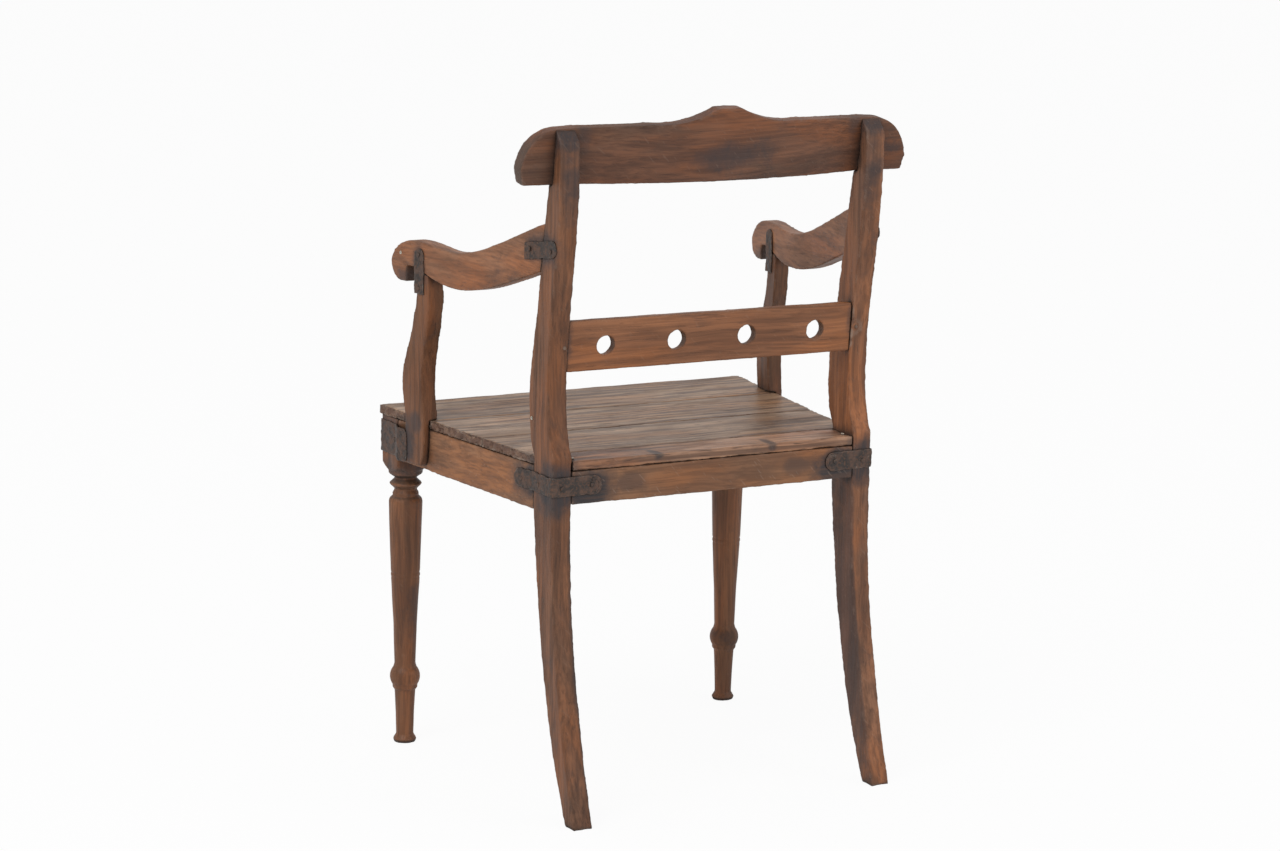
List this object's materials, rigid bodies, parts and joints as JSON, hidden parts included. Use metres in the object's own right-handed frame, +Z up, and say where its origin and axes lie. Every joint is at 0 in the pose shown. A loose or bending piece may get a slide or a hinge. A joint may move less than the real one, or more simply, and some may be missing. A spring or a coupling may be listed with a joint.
{
  "type": "wooden open armchair",
  "caption": "Antique wooden open armchair with S-scroll arms, a pierced back rail, a board seat, turned front legs, sabre rear legs and iron corner straps.",
  "frame": {"origin": "on the floor, under the centre of the bounding box", "axes": "+Z up; the chair faces -Y; +X is the sitter's left"},
  "size_m": [0.5566, 0.4704, 0.8663],
  "materials": {
    "frame_teak": "worn old varnish, satin",
    "crest_teak": "worn old varnish, satin",
    "arm_teak": "hand-worn, satin",
    "seat_teak": "weathered, worn smooth",
    "iron": "hand-forged, rusted and darkened"
  },
  "bodies": {
    "root": {"rear_leg_left": "frame_teak", "front_leg_left": "frame_teak", "side_rail_left": "frame_teak", "arm_left": "arm_teak", "arm_support_left": "arm_teak", "rear_corner_strap_left": "iron", "front_corner_strap_left": "iron", "arm_joint_strap_left": "iron", "arm_outer_plate_left": "iron", "arm_inner_plate_left": "iron", "rear_leg_right": "frame_teak", "front_leg_right": "frame_teak", "side_rail_right": "frame_teak", "arm_right": "arm_teak", "arm_support_right": "arm_teak", "rear_corner_strap_right": "iron", "front_corner_strap_right": "iron", "arm_joint_strap_right": "iron", "arm_outer_plate_right": "iron", "arm_inner_plate_right": "iron", "rear_seat_rail": "frame_teak", "front_seat_rail": "frame_teak", "seat_board_1": "seat_teak", "seat_board_2": "seat_teak", "seat_board_3": "seat_teak", "seat_board_rear": "seat_teak", "crest_rail": "crest_teak", "pierced_back_rail": "frame_teak", "back_rail_pegs": "frame_teak", "crest_pegs": "frame_teak"}
  },
  "joints": []
}
